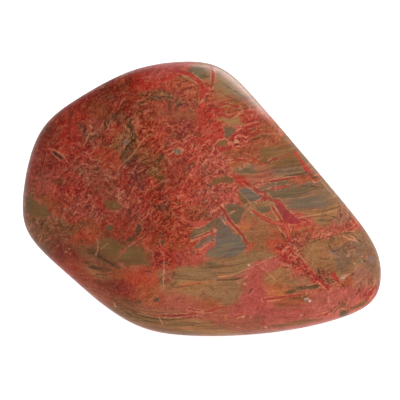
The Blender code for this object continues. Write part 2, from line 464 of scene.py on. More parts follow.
# Patches: tint, how soft the edge is, then corners in photograph pixels
patches = {
    "slateFan": ("coolSlate", 2.4, [(216, 217), (223, 215), (226, 222), (232, 231), (240, 237), (246, 243),
        (245, 249), (236, 253), (228, 255), (214, 258), (203, 257), (207, 250), (215, 245), (213, 238),
        (216, 229)]),
    "slateFanTop": ("greenSlate", 1.0, [(213, 220), (220, 216), (223, 222), (226, 230), (221, 232),
        (215, 229)]),
    "sliverUpper": ("greenSlate", 0.9, [(190, 234), (193, 229), (200, 228), (207, 224), (214, 219),
        (219, 217), (217, 223), (213, 230), (207, 233), (199, 238), (190, 241)]),
    "sliverLower": ("slate", 1.0, [(194, 248), (199, 242), (206, 237), (213, 234), (216, 238), (212, 243),
        (205, 244), (198, 249)]),
    "smallTriangle": ("greenSlate", 1.0, [(190, 252), (194, 250), (196, 252), (192, 255)]),
    "slateBlock": ("coolSlate", 1.0, [(238, 190), (243, 187.5), (249, 187.5), (254, 191), (264, 198),
        (258, 200), (252, 203), (246, 197)]),
    "oliveStrip": ("olive", 1.0, [(237, 193), (240, 194), (246, 200), (251, 206), (248, 207), (242, 203)]),
    "olivePatch": ("greenSlate", 1.0, [(224, 206), (229, 203), (238, 204), (244, 208), (243, 214),
        (240, 222), (234, 225), (229, 216), (225, 211)]),
    "greenCore": ("slate", 1.0, [(231, 214), (236, 211), (240, 216), (239, 222), (234, 223)]),
    "orangePocket": ("orange", 1.2, [(235, 227), (239, 224), (246, 224), (250, 226), (247, 230),
        (241, 231.5), (237, 229)]),
    "slateBandTop": ("greenSlate", 2.6, [(233, 170), (240, 168), (252, 166), (262, 170), (250, 174),
        (238, 173)]),
    "slateBandMiddle": ("greenSlate", 2.8, [(260, 187), (268, 184), (280, 182), (292, 181), (300, 182),
        (292, 185), (278, 188), (264, 189)]),
    "slateBandLow": ("greenSlate", 1.8, [(264, 194), (272, 190.5), (286, 190), (302, 188), (318, 187),
        (314, 191), (298, 194), (282, 197), (270, 197)]),
    "slateLens": ("slate", 2.8, [(284, 202), (296, 199), (318, 196), (328, 202), (322, 208), (304, 211),
        (292, 209)]),
    "beddingLensOlive": ("darkOlive", 1.6, [(284, 293), (292, 289), (300, 286), (312, 284), (318, 283),
        (322, 286), (314, 289), (300, 291), (290, 294)]),
    "beddingLensLow": ("darkOlive", 1.3, [(280, 301), (292, 298), (304, 296), (310, 297), (300, 299),
        (288, 301)]),
    "oliveCap": ("olive", 2.2, [(260, 150), (266, 147), (278, 149), (280, 155), (270, 158), (261, 156)]),
    "oliveLens": ("olive", 1.0, [(210, 184), (212, 179), (219, 177), (223, 180), (218, 185), (211, 186)]),
    "oliveNotch": ("greenSlate", 1.2, [(224, 127), (229, 127), (237, 130), (233, 134), (226, 139),
        (224, 133)]),
    "oliveWedgeLeft": ("olive", 1.4, [(104, 200), (112, 201), (119, 204), (122, 207), (116, 211),
        (108, 210), (105, 205)]),
    "oliveSpotLeft": ("greenSlate", 1.0, [(105, 227), (109, 224), (114, 226), (112, 231), (106, 231)]),
    "oliveTear": ("darkOlive", 1.0, [(136, 228), (138, 224), (142, 225), (142, 230), (138, 236), (132, 240),
        (124, 244), (121, 243), (128, 239), (135, 234)]),
    "oliveHeel": ("olive", 2.2, [(99, 246), (104, 238), (114, 237), (121, 244), (120, 252), (112, 259),
        (104, 256)]),
    "oliveHeelRight": ("olive", 3.0, [(122, 254), (130, 247), (141, 247), (147, 254), (142, 264),
        (128, 266), (118, 262)]),
    "oliveSpot": ("darkOlive", 1.0, [(161, 241), (164, 239), (165, 242), (163, 245), (161, 244)]),
    "leftOlive": ("olive", 2.2, [(24, 195), (31, 198), (38, 202), (46, 208), (53, 214), (47, 218),
        (38, 218), (31, 216), (25, 212)]),
    "oliveDash": ("darkOlive", 1.0, [(51.5, 151.5), (54, 151), (63, 157.5), (61, 160)]),
    "topOlive": ("greenSlate", 2.2, [(186, 70), (191, 66), (199, 66.5), (206, 70), (208, 77), (202, 80),
        (194, 76)]),
    "topOliveRight": ("tan", 3.5, [(216, 72), (224, 76), (236, 84), (246, 96), (238, 99), (226, 94),
        (217, 88)]),
    "crimsonSpot": ("darkCrimson", 1.0, [(105, 234), (109, 235), (109, 237.5), (106, 236.5)]),
    "roseTongue": ("rose", 1.6, [(187, 222), (196, 223), (204, 221), (209, 222), (203, 227), (194, 228)]),
    "roseTongueLow": ("rose", 1.6, [(200, 250), (208, 244), (214, 243), (211, 248), (204, 253),
        (201, 254)]),
    "olivePaleLens": ("tan", 2.4, [(314, 220), (322, 217), (330, 218), (326, 223), (316, 224)]),
    "rimCrimson": ("crimson", 0.7, [(291, 149), (296, 151.5), (303, 160), (310, 169), (314, 176),
        (311, 178), (306, 172), (301, 164), (296, 156)]),
    "bottomOlive": ("darkOlive", 1.0, [(338, 317), (340, 312), (346, 310), (347, 313), (343, 317)]),
    "heelDark": ("darkOlive", 1.0, [(153, 301), (155.5, 297), (160, 297.5), (158, 301.5), (155, 303.5)]),
    "slopeOlivePatch": ("ochre", 2.4, [(217, 119), (222, 116), (232, 118), (241, 121), (246, 125),
        (236, 125), (228, 125), (221, 122)]),
    "crimsonBlob": ("crimson", 1.0, [(233, 177), (238, 174), (243, 176), (247, 181), (251, 186), (246, 187),
        (240, 186), (236, 183)]),
    "pocketOlive": ("greenSlate", 1.2, [(256, 209), (262, 206), (270, 206), (274, 208), (271, 212),
        (262, 213)]),
    "streakOliveLeft": ("olive", 1.2, [(220, 178), (226, 174), (231, 177), (236, 182), (230, 183),
        (222, 182)]),
    "orangeStreak": ("orange", 1.2, [(219, 278), (222, 275.5), (228, 274), (233, 275), (230, 277.5),
        (222, 279)]),
    "orangeStreakLeft": ("orange", 1.4, [(180, 285.5), (186, 282.5), (195, 281), (204, 280.5), (203, 282.5),
        (192, 285.5)]),
    "tipCream": ("bone", 1.6, [(339, 279.5), (341, 277), (344, 276), (346, 275.5), (346, 277.5),
        (342, 280)]),
    "tipPurple": ("mauveGrey", 0.9, [(367, 256), (372, 255), (377, 257), (376, 261), (372, 264),
        (368, 261)]),
    "tipPurpleLeft": ("mauveGrey", 0.9, [(329, 249), (333, 248), (336, 250), (337, 255), (333, 256)]),
    "eyeOval": ("greyTan", 0.7, [(172.5, 151), (175, 149), (180, 148.5), (182.5, 150.5), (181, 153.5),
        (176, 154.5)]),
    "slopeLens": ("olive", 1.0, [(215, 145), (219, 140.5), (225, 139), (229, 141), (226, 145), (220, 147)]),
    "bottomOliveRight": ("olive", 1.6, [(347, 310), (355, 305), (364, 300), (370, 298), (365, 304),
        (356, 309)]),
    "bottomBrownEdge": ("brown", 1.8, [(268, 325.5), (284, 322), (300, 320), (316, 318.5), (321, 320),
        (300, 325), (280, 328)]),
    "heelStripe": ("umber", 2.4, [(82, 245), (96, 251), (110, 260), (120, 267), (110, 266), (97, 258),
        (84, 250)]),
    "heelStripeLow": ("umber", 2.4, [(84, 259), (98, 266), (112, 270), (106, 273), (94, 270), (84, 264)]),
}

# Veins: tint, widths in millimetres from start to end, then their run in photograph pixels
veins = {
    "topVein": ("crimson", (0.5, 1.2, 1.3, 0.6), [(208, 62), (211, 66), (213, 72), (213, 80), (211, 88)]),
    "topArc": ("crimson", (0.4, 2.0, 1.9, 0.9), [(165, 70), (173, 71), (181, 71.5), (189, 74), (196, 79),
        (202, 85), (204, 92), (201, 98)]),
    "mainUpper": ("wine", (1.1, 1.3, 1.4), [(243, 181), (249, 185), (255, 190), (261, 194)]),
    "mainLower": ("wine", (1.4, 1.6, 1.4), [(261, 194), (268, 198), (274, 201), (280, 204), (283, 208)]),
    "orangeVein": ("scarlet", (0.8, 1.1, 1.6), [(247, 206), (252, 210), (257, 214), (264, 218), (272, 222),
        (280, 224), (285, 225)]),
    "orangeVeinDown": ("scarlet", (1.6, 1.6, 1.2), [(284, 224), (287, 229), (289, 236), (291, 243)]),
    "innerPink": ("rose", (0.6, 1.5, 1.1, 0.7), [(251, 206), (254, 203), (262, 201), (272, 199.5),
        (279, 201), (282, 205)]),
    "broadBandLow": ("crimson", (0.7, 1.6, 1.1), [(302, 262), (308, 269), (315, 276), (321, 282),
        (329, 290)]),
    "broadCore": ("wine", (0.5, 1.0, 0.6), [(287, 248), (295, 255), (303, 262)]),
    "secondVein": ("wine", (0.8, 1.2, 1.0), [(213, 200), (219, 205), (224, 210), (227, 216), (230, 222),
        (236, 228), (242, 234), (246, 241)]),
    "redStreak": ("crimson", (0.6, 1.1, 0.7), [(221, 163), (228, 161), (236, 160.5), (246, 159.5),
        (254, 158.5), (258, 160)]),
    "redJag": ("crimson", (1.2, 1.3, 0.7), [(254, 158), (257, 161), (261, 163.5), (267, 163), (272, 160),
        (277, 158)]),
    "redJagLow": ("flame", (0.4, 1.0, 0.5), [(228, 169), (240, 168), (248, 164), (256, 162)]),
    "bandVein": ("flame", (0.5, 1.3, 0.6), [(252, 184), (262, 182), (271, 181), (281, 179), (292, 178),
        (299, 177)]),
    "bandVeinLow": ("pink", (0.4, 0.7, 0.4), [(262, 191.5), (272, 189), (282, 187), (288, 186)]),
    "tongueEdge": ("pink", (0.5, 1.0, 0.8), [(190, 240), (198, 238), (206, 234), (215, 230)]),
    "tongueEdgeLow": ("pink", (0.4, 0.8, 0.4), [(200, 249), (206, 244), (214, 240)]),
    "roseRightUpper": ("crimson", (0.4, 0.7, 0.4), [(310, 240), (318, 237), (330, 234), (342, 232),
        (352, 229), (357, 225.5)]),
    "slopeJag": ("crimson", (0.5, 1.0, 0.6), [(216, 115), (224, 115), (229, 118), (236, 114), (244, 112),
        (254, 112)]),
    "slopeJagLow": ("crimson", (0.5, 0.9, 0.5), [(226, 144), (232, 137), (238, 132), (246, 128), (254, 125),
        (262, 124)]),
    "slopeStreak": ("flame", (0.4, 1.0, 0.5), [(246, 140), (254, 134), (262, 131), (270, 131)]),
    "slopeBand": ("flame", (0.4, 1.3, 0.6), [(218, 104), (228, 104), (238, 107), (248, 108)]),
    "wedgeStreak": ("rose", (0.4, 0.9, 0.5), [(264, 299.5), (276, 298), (290, 296), (300, 294.5)]),
    "pinkRightLow": ("pink", (0.4, 0.9, 0.4), [(284, 299), (294, 296), (306, 294), (314, 292)]),
    "rustUpper": ("rose", (0.4, 0.9, 0.5), [(140, 313), (156, 315.5), (172, 316), (186, 315), (198, 313),
        (206, 312)]),
    "roseLowLine": ("rose", (0.4, 0.8, 0.4), [(188, 309), (198, 310.5), (210, 311), (222, 307)]),
    "leftCrack": ("darkCrimson", (0.3, 0.6, 0.3), [(84, 154), (92, 157), (101, 162), (110, 164),
        (114, 168)]),
    "flameSpur": ("crimson", (0.7, 1.1, 0.4), [(332, 274), (335, 277), (338, 281), (339, 284)]),
    "cornerStreak": ("wine", (0.4, 1.1, 0.5), [(366, 299), (370, 294), (374, 288)]),
    "centreStripe": ("darkCrimson", (0.4, 1.0, 0.4), [(180, 226), (182, 232), (185, 238)]),
    "slopeFlame": ("flame", (0.4, 1.2, 0.5), [(231, 140), (236, 134), (242, 131), (245, 127)]),
    "broadEdge": ("crimson", (0.4, 0.8, 0.5), [(284, 252), (287, 260), (291, 268)]),
    "broadRight": ("crimson", (0.5, 0.9, 0.5), [(290, 244), (297, 250), (305, 258), (311, 264)]),
    "rimCrimsonStreak": ("rose", (0.3, 0.8, 0.3), [(347, 215), (351, 219), (356, 224)]),
    "roseLeftStreak": ("crimson", (0.4, 1.0, 0.4), [(298, 219), (304, 220), (310, 222)]),
    "topCurl": ("crimson", (0.4, 1.0, 0.5), [(115, 111), (118, 105), (121, 99), (126, 94)]),
    "magentaWedge": ("magenta", (1.0, 3.2, 5.4, 1.0), [(277, 204), (283, 211), (289, 218.5), (300, 222.5)]),
    "bottomVein": ("crimson", (0.4, 0.9, 0.4), [(318, 316), (326, 314), (332, 310), (337, 306)]),
    "triangleInner": ("flame", (0.4, 1.0, 0.6), [(272, 206), (275, 212), (279, 218), (282, 223)]),
}

# Thin dark lines by width in millimetres: their runs in photograph pixels
inkLines = {
    0.3: [[(170, 268), (174, 273), (172, 279)]],
    0.32: [[(219, 80), (228, 87), (238, 93), (248, 101)], [(218, 90), (228, 97), (240, 102), (252, 110)]],
    0.35: [[(166, 287), (176, 287.5), (190, 285.5), (202, 283)], [(312, 226), (320, 225.5), (331, 225)],
        [(316, 220.5), (324, 220), (332, 220)],
        [(120, 308), (132, 316), (150, 322), (172, 325), (196, 325)]],
    0.4: [[(160, 315), (172, 316), (186, 315)], [(300, 186), (312, 186), (322, 188)],
        [(322, 214.5), (330, 216), (337, 217.5), (339.5, 222), (341, 230)],
        [(108, 190), (111, 188), (115, 189)], [(270, 181.5), (278, 180), (290, 178)],
        [(345, 218), (349, 220.5)], [(110, 297), (122, 306), (136, 312), (150, 314.5)]],
    0.45: [[(276, 172), (288, 171), (298, 168)], [(317, 256.5), (323, 259.5), (328, 259), (333, 255)]],
    0.5: [[(92, 252), (100, 257), (108, 262), (116, 267)], [(84, 265), (92, 267.5), (102, 269.5)],
        [(96, 274), (106, 275), (114, 273)], [(236, 153), (242, 152)],
        [(310, 243), (318, 240), (326, 237.5), (334, 235.5), (342, 233.5), (352, 232.5)],
        [(327, 242), (330, 247), (333, 252), (338, 250), (343, 247.5), (346, 245)],
        [(346, 245), (348.5, 247), (350, 242)], [(284, 176), (294, 175), (304, 173)],
        [(42, 194), (47, 196), (50, 199)], [(224, 166), (230, 171), (235, 175)],
        [(121, 193.5), (124.5, 191.5)], [(170, 150.5), (171.3, 150.8)], [(184.3, 149.5), (185.5, 149.5)],
        [(148, 92), (153, 93.5), (159, 93)], [(147, 99), (153, 100), (160, 99.5)],
        [(230, 144), (236, 144.5), (242, 142)], [(362, 262.5), (366, 262)]],
    0.55: [[(214, 280), (226, 280), (238, 279), (248, 275)],
        [(132, 312), (144, 317), (154, 319), (168, 320), (184, 319), (196, 316)]],
    0.6: [[(355, 236), (358, 240), (362, 243)], [(342, 284), (345, 288)],
        [(220, 169), (225, 174), (230, 179), (234, 183)], [(131, 176), (137, 180), (140, 186), (143, 190)],
        [(140, 190), (144, 186), (146, 182)], [(112, 283), (118, 288), (122, 293)],
        [(350, 275.5), (353, 275), (355, 272.5)]],
    0.7: [[(144, 94), (149, 97), (154, 96), (160, 97)], [(281, 231), (284, 237), (285, 240)],
        [(204, 183), (209, 186), (214, 187)], [(141, 273), (146, 271), (152, 272)]],
    0.8: [[(249, 141), (255, 139), (261, 137)], [(248.5, 294), (251, 290.5), (253.5, 287.5)],
        [(305, 173), (307, 171)], [(351, 275), (354, 272)]],
    0.9: [[(166, 99), (170, 97), (174, 98)], [(168, 102), (170, 107), (169, 110)],
        [(179, 105), (184, 104), (188, 104)], [(359.5, 261.5), (366, 261.5)]],
    1.0: [[(312, 178), (317, 177)], [(318, 269), (320, 274)], [(326, 277), (328, 281)]],
    1.1: [[(53, 151.5), (62, 158.5)]],
    1.5: [[(126, 167), (129, 162), (134, 158), (138, 155.5)]],
}

# Thin pale lines in the same way
paleLines = {
    0.25: [[(322, 182), (327, 188), (332.5, 194)]],
    0.3: [[(249.5, 295), (252.5, 291.5), (254.5, 288)],
        [(258, 264), (262, 268), (266, 271), (272, 277), (280, 283)],
        [(266, 181), (276, 179), (286, 177.5), (296, 176)], [(129, 161.5), (133, 157.5)],
        [(177, 198), (181, 191), (185, 183), (189, 176), (193, 168)],
        [(52, 149.5), (57, 151.5), (63.5, 157)], [(51, 152), (55, 156), (60, 160.5)]],
    0.32: [[(111, 240), (105, 246), (100, 250)], [(139, 218.5), (143, 215), (149, 210), (153, 207.5)],
        [(136, 246), (142, 241), (148, 236)], [(96, 223), (98, 218), (103, 213)],
        [(328, 294), (329, 302), (330, 310)]],
    0.34: [[(239, 191), (245, 197), (250, 204), (251, 211), (256, 221)]],
    0.35: [[(43, 148.5), (50, 149), (56, 150), (64, 156), (66, 161), (72, 165)],
        [(118, 198.5), (124, 196), (128, 193)],
        [(188, 227.5), (196, 228), (203, 226.5), (208, 223.5), (210, 221)],
        [(210, 68), (211, 75), (210, 83)], [(214, 68), (216, 76), (215, 86)],
        [(183, 70), (186, 67), (191, 66)], [(204, 182), (209, 178), (216, 176)],
        [(249, 186), (256, 191), (263, 195), (268, 198)],
        [(250, 205), (255, 202), (264, 203), (272, 204), (276, 208)], [(276, 225), (281, 231), (285, 235)],
        [(145, 96), (151, 98.5), (158, 98)]],
    0.36: [[(96, 238), (98, 243), (98, 249), (96, 255)],
        [(139, 223.5), (143, 219), (150, 213), (157, 207.5)], [(128, 247), (137, 241), (146, 234)]],
    0.4: [[(214, 146), (218, 140.5), (225, 138.5), (229, 141)],
        [(230, 145), (234, 142), (240, 142), (242, 144)], [(312, 180), (315, 183)],
        [(298, 217.5), (306, 216.5), (318, 214.5), (329, 212), (337, 210)],
        [(243, 280), (247, 276), (250, 273)],
        [(237, 189), (243, 187), (248, 187), (254, 190), (262, 195), (267, 198)],
        [(190, 240), (197, 239), (206, 235), (213, 232)], [(200, 250), (205, 245), (212, 241)],
        [(361, 257), (364, 256), (365, 253.5)], [(334, 315), (337, 310.5), (342, 308.5), (347, 310)],
        [(346, 306), (349, 301), (350, 297)]],
    0.42: [[(117.5, 171), (121, 165), (127, 160), (133, 154), (138, 147), (143, 140), (147, 136),
        (150, 134), (152, 130), (154.5, 126)],
        [(171.5, 150), (175, 148), (180, 147.5), (183.5, 150.5), (181.5, 154.5), (177, 155.5)]],
    0.45: [[(82, 147), (86, 142), (89, 134)], [(91, 154), (94, 150), (96, 147)],
        [(349, 257), (350, 251), (353, 249), (355, 253), (354, 257)],
        [(306, 286), (314, 284), (318, 282), (322, 286), (327, 290)],
        [(218, 277), (232, 275), (244, 270), (252, 267), (262, 262), (270, 258), (279, 255)],
        [(250, 317.5), (252.5, 316)]],
    0.5: [[(163.5, 256), (164, 266), (163.5, 278), (164, 287.5)],
        [(352.5, 273), (355, 270), (357, 266.5), (361, 264)], [(366, 260), (367, 256)],
        [(159, 317), (161, 321), (163, 325)], [(237, 318.5), (240, 317), (244, 316.5)],
        [(349, 234.5), (354, 238), (358, 241.5)], [(345, 277), (348, 274.5), (351, 274)]],
    0.55: [[(222, 167), (228, 172), (233, 177), (236, 181)]],
    0.6: [[(229, 214), (232, 212), (235, 211)], [(114, 303), (116, 308)],
        [(343, 236), (349, 239), (356, 241)]],
    0.7: [[(222, 219), (224, 222), (226, 225)]],
    0.9: [[(116.5, 197), (119.5, 194), (124.5, 190.5)]],
}

# Round marks by tint: middle in photograph pixels, half width in millimetres
spots = {
    "cream": [(177, 151, 0.3), (96.5, 255, 0.4), (249, 265.5, 0.45), (266, 328, 0.7), (344, 276, 0.3),
        (307, 298, 0.45), (191.5, 175.3, 0.4), (354, 263.5, 0.35)],
    "orange": [(226.5, 317, 0.85), (309.5, 269.5, 0.7)],
    "mutedPink": [(148.5, 274.5, 1.5)],
    "palePink": [(244.5, 284, 0.8), (238.5, 282.8, 0.55), (189, 294, 0.5), (243.5, 317, 0.5),
        (251.5, 317, 0.5), (238.5, 326, 0.6), (358, 265, 0.45), (309, 269.5, 0.5), (65.8, 241.5, 0.4),
        (57.8, 246, 0.5), (69.5, 248.5, 0.55), (66, 252, 0.5), (70.5, 253.8, 0.45), (68.5, 202, 0.45),
        (235.5, 140.5, 1.0), (239, 141.5, 0.6)],
    "ink": [(351.5, 273.5, 0.4), (191, 187, 0.35), (191.5, 190, 0.35), (217, 113.5, 0.4),
        (175.3, 150.3, 0.28), (178.6, 152.4, 0.28), (179.8, 149.9, 0.25), (357.5, 262.5, 0.45),
        (361, 253, 0.4)],
    "white": [(329.5, 190, 0.45), (305.5, 299, 0.5), (310, 301, 0.4), (173.8, 151.6, 0.3),
        (177, 149.2, 0.3), (181.2, 151.2, 0.3), (176.6, 153.5, 0.28)],
    "slate": [(326, 188, 0.6), (306, 301, 0.7), (38, 229, 0.7), (307.5, 302.5, 0.6)],
    "tan": [(39.5, 233, 0.5), (204, 202, 0.8), (215, 104, 0.7)],
    "darkOlive": [(60, 206, 0.6), (75.5, 206, 0.6), (68.5, 209.5, 0.7), (71, 214, 1.0), (63, 228, 0.8),
        (136.5, 137, 0.8), (262, 248, 0.9), (149, 290.5, 0.6), (152.5, 293, 0.45), (139, 301.5, 1.0),
        (177.5, 151.3, 0.3)],
    "umber": [(59, 217, 0.6), (70, 229, 0.7), (56.5, 212.5, 0.45), (92, 194, 0.7), (129, 126, 1.3),
        (104, 144, 1.1), (85, 112, 0.9), (144, 128, 0.5), (144.5, 125, 0.4), (127, 132, 0.9),
        (127, 156, 0.5), (264, 282.5, 0.4), (348, 221, 0.5), (147, 300.5, 0.6), (142, 307, 0.5),
        (150.5, 309, 0.45), (303, 301, 0.45), (346, 252, 0.5), (356, 248.5, 0.4), (333, 250.5, 0.45)],
    "brown": [(132, 125, 0.7), (307, 171.5, 0.6)],
    "blueSlate": [(126.5, 142, 1.3), (249.5, 165, 0.7), (251.5, 170, 0.7)],
    "olive": [(198, 208, 0.6)],
    "greenSlate": [(317, 177.5, 0.9), (219, 107, 0.7)],
    "darkCrimson": [(277, 311.5, 0.45)],
    "pink": [(296, 262, 0.6)],
    "magenta": [(264, 324, 1.0), (268, 327, 0.7)],
    "bone": [(347.5, 256, 0.45)],
}

marks = {
    "reach": 14.0,  # photograph pixels around a mark in which its distance is reckoned
    "spotReach": 8.0,
    "leastSeen": 0.01,
    "farEdge": -6.0,  # an edge value that is clear of every mark, in millimetres
    "veinWidth": 0.8,  # share of the stated width that veins are drawn with
    "taper": {"ink": (0.5, 1.0, 1.0, 0.4), "pale": (0.7, 1.0, 1.0, 0.6)},
    # Marks fade where the face turns from the camera: share of facing it
    "fadeIn": (0.10, 0.33),
    "zoneFadeIn": (0.06, 0.25),
}
print("pattern:", len(zones), "zones,", len(patches), "patches,", len(veins), "veins,",
      sum(len(runs) for table in (inkLines, paleLines) for runs in table.values()), "lines,",
      sum(len(rows) for rows in spots.values()), "spots")

# How finely the stone's skin is cut, and the waviness that hand lapping left on it
skin = {
    "weld": 0.001,  # in millimetres
    "joinAngles": (0.7, 0.9),  # how unlike a flat square two joined triangles may be
    "levels": 2,
    "fitRounds": 3,  # how often the squares are set out again, so that rounding doesn't shrink the stone
    "fitAbove": (1.0, 5.0),  # not at the foot's rolled rim, in millimetres
    "undulation": ((0.10, 22.0), (0.045, 7.0)),  # how far each way, over how long, in millimetres
    "undulationShift": 5.1,
    "undulateAbove": (1.0, 8.0),
    "fineNear": 0.8,  # squares this near the edge of a crisp mark are cut once more, in millimetres
    "fineSeen": 0.05,
    "fineTriangles": 7,  # allowed for each square that is cut once more
    "triangleLimit": 198000,
    "seed": 14,  # of the wander; without it the wander would follow the clock
}

# Small pits that the polish didn't reach, in millimetres; some of them show in the photograph
pits = {
    "inPhoto": [(344, 277), (362, 261.5), (306.5, 300.5), (329.5, 190), (96.5, 255), (249, 265.5),
        (226.5, 317), (266, 328), (66, 252), (178, 151)],
    "seen": 0.5,
    "count": 60,
    "seed": 12,
    "half": (0.35, 0.85),
    "deepest": 0.22,
    "footClear": 6.0,
    "draw": (400.0, 0.35, 0.65),  # noise that draws each pit's width: its scale, lowest and highest
    "bowl": (1.0, 0.25),  # shares of the half width where the bowl starts and is full
}

# The crown's edge shines most: its run, and how far the shine reaches, in millimetres
gloss = {
    "along": [(-29, -25, 111), (-20, -25, 113.5), (-8, -20.5, 114), (0, -19, 114), (8, -16, 113),
        (24, -17.5, 97)],
    "reach": (3.0, 7.5, 6.5, 7.0, 9.5, 9.5),
    "core": 0.25,  # share of that reach with the full shine
    "specular": (0.10, 1.0),
    "polish": (0.3, 0.7),  # the noise from well polished to worse
    "roughness": (0.30, 0.42),
    "index": 1.54,
    "grain": (0.12, 0.0002),  # strength of the bump, and its depth in metres
}


def coordinates(mesh):
    points = np.empty(len(mesh.vertices) * 3)
    mesh.vertices.foreach_get("co", points)
    return points.reshape(-1, 3)


def pointsAndNormals(mesh):
    normals = np.empty(len(mesh.vertices) * 3, np.float32)
    mesh.vertex_normals.foreach_get("vector", normals)
    return coordinates(mesh), normals.reshape(-1, 3).astype(float)


def evaluated(piece):
    bpy.context.view_layer.update()
    return piece.evaluated_get(bpy.context.evaluated_depsgraph_get())


def applyModifiers(piece):
    piece.data = bpy.data.meshes.new_from_object(evaluated(piece))
    piece.modifiers.clear()


def ease(value, low, high):
    t = np.clip((value - low) / (high - low), 0, 1)
    return t * t * (3 - 2 * t)


# Smooth random vector at each point, about -1 to 1 each way, over a span in millimetres
def wander(points, span, shift):
    scale = 1 / (span * mm)
    return np.array([noise.noise_vector(Vector(p) * scale + Vector((shift,) * 3)) for p in points])


# Copy of the solid with its triangles joined back to squares and rounded by subdivision
def refinedSkin(node):
    flatTurn, shapeTurn = skin["joinAngles"]
    shape = bmesh.new()
    shape.from_mesh(node.data)
    bmesh.ops.remove_doubles(shape, verts=shape.verts[:], dist=skin["weld"] * mm)
    bmesh.ops.join_triangles(shape, faces=shape.faces[:], angle_face_threshold=flatTurn,
        angle_shape_threshold=shapeTurn)
    mesh = bpy.data.meshes.new("jasperStone")
    shape.to_mesh(mesh)
    shape.free()
    mesh.materials.clear()
    stone = linked("jasperStone", mesh)
    rounding = stone.modifiers.new("rounding", "SUBSURF")
    rounding.levels = rounding.render_levels = skin["levels"]
    wanted = coordinates(mesh)
    clear = ease(wanted[:, 2], *(height * mm for height in skin["fitAbove"]))[:, None]
    for again in range(skin["fitRounds"]):
        shrunk = coordinates(evaluated(stone).data)[:len(wanted)]
        mesh.vertices.foreach_set("co", (coordinates(mesh) + (wanted - shrunk) * clear).ravel())
        mesh.update()
    applyModifiers(stone)
    off = np.linalg.norm(coordinates(stone.data)[:len(wanted)] - wanted, axis=1) / mm
    print("skin: rounded, above the foot at most", round(off[clear[:, 0] == 1].max(), 3),
        "mm from the solid")
    print("skin:", len(stone.data.vertices), "points", len(stone.data.polygons), "squares")
    return stone


# Where each point of the skin lies: in the photograph, and which way it faces
class Place:
    def __init__(self, mesh):
        self.points, self.out = pointsAndNormals(mesh)
        away = self.points - np.array(viewEye)
        depth = -(away @ np.array(viewBack))
        middle = camera["pixels"] / 2
        across, down = away @ np.array(viewRight), -(away @ np.array(viewUp))
        self.pixels = np.stack([across, down], axis=1) / depth[:, None] * viewScale + middle
        self.mmPerPixel = depth / viewScale / mm
        toEye = -away / np.linalg.norm(away, axis=1)[:, None]
        towards = (self.out * toEye).sum(1)
        self.seen = ease(towards, *marks["zoneFadeIn"])
        self.seenWell = ease(towards, *marks["fadeIn"])


# Distance to a straight run, and how far along it the nearest place lies
def segmentDistance(points, start, end):
    run = np.array(end) - np.array(start)
    along = np.clip(((points - np.array(start)) @ run) / (run @ run), 0, 1)
    return np.linalg.norm(points - np.array(start) - along[:, None] * run, axis=1), along


# Points of the photographed side within reach of a path, in photograph pixels
def nearby(place, path, reach=marks["reach"]):
    low, high = np.min(path, axis=0) - reach, np.max(path, axis=0) + reach
    inside = ((place.pixels > low) & (place.pixels < high)).all(axis=1)
    return np.nonzero(inside & (place.seen > marks["leastSeen"]))[0]


# Millimetres inside a patch's edge, negative outside, at the points near it
def patchEdge(place, corners, moved=None):
    near = nearby(place, corners)
    pixels = (place.pixels if moved is None else moved)[near]
    distance = np.full(len(near), np.inf)
    crossings = np.zeros(len(near), int)
    for start, end in zip(corners, corners[1:] + corners[:1]):
        distance = np.minimum(distance, segmentDistance(pixels, start, end)[0])
        (x0, y0), (x1, y1) = start, end
        spans = (y0 > pixels[:, 1]) != (y1 > pixels[:, 1])
        if y0 != y1:
            crossings += spans & (pixels[:, 0] < (x1 - x0) * (pixels[:, 1] - y0) / (y1 - y0) + x0)
    return near, np.where(crossings % 2 == 1, distance, -distance) * place.mmPerPixel[near]


# Millimetres inside a line's edge, negative outside, at the points near it
def lineEdge(place, path, widths, scale):
    near = nearby(place, path)
    lengths = [math.dist(a, b) for a, b in zip(path, path[1:])]
    best = np.full(len(near), -np.inf)
    gone = 0.0
    for start, end, length in zip(path, path[1:], lengths):
        distance, along = segmentDistance(place.pixels[near], start, end)
        share = (gone + along * length) / sum(lengths)
        half = np.interp(share, np.linspace(0, 1, len(widths)), widths) * scale / 2
        best = np.maximum(best, half - distance * place.mmPerPixel[near])
        gone += length
    return near, best


# Edge distances and tints of all crisp marks at each point, where the deepest mark wins
def markFields(place):
    count = len(place.points)
    far = marks["farEdge"]
    fields = {name: np.full(count, far) for name in ("patch", "vein", "ink", "pale", "spot")}
    colours = {name: np.tile(linear("brick"), (count, 1)) for name in ("patch", "vein", "spot")}

    def overlay(name, near, edge, tint=None):
        wins = edge > fields[name][near]
        fields[name][near[wins]] = edge[wins]
        if tint:
            colours[name][near[wins]] = linear(tint)

    for tint, soft, corners in patches.values():
        near, edge = patchEdge(place, corners)
        overlay("patch", near, edge / soft, tint)
    for tint, widths, path in veins.values():
        overlay("vein", *lineEdge(place, path, widths, marks["veinWidth"]), tint)
    for name, table in (("ink", inkLines), ("pale", paleLines)):
        for width, runs in table.items():
            for path in runs:
                overlay(name, *lineEdge(place, path, marks["taper"][name], width))
    for tint, rows in spots.items():
        for x, y, half in rows:
            near = nearby(place, [(x, y)], marks["spotReach"])
            distance = np.linalg.norm(place.pixels[near] - (x, y), axis=1) * place.mmPerPixel[near]
            overlay("spot", near, half - distance, tint)
    for name in fields:
        fields[name] = fields[name] * place.seenWell + far * (1 - place.seenWell)
    return fields, colours


def lookOf(tint, texture):
    return np.array([*linear(tint), *textures[texture]])


# Mean look of zones, each as strong as its weight at the point
def meanLook(weighed):
    total, mean = 0.0, 0.0
    for weight, tint, texture in weighed:
        total = total + weight[:, None]
        mean = mean + weight[:, None] * lookOf(tint, texture)
    return mean / total


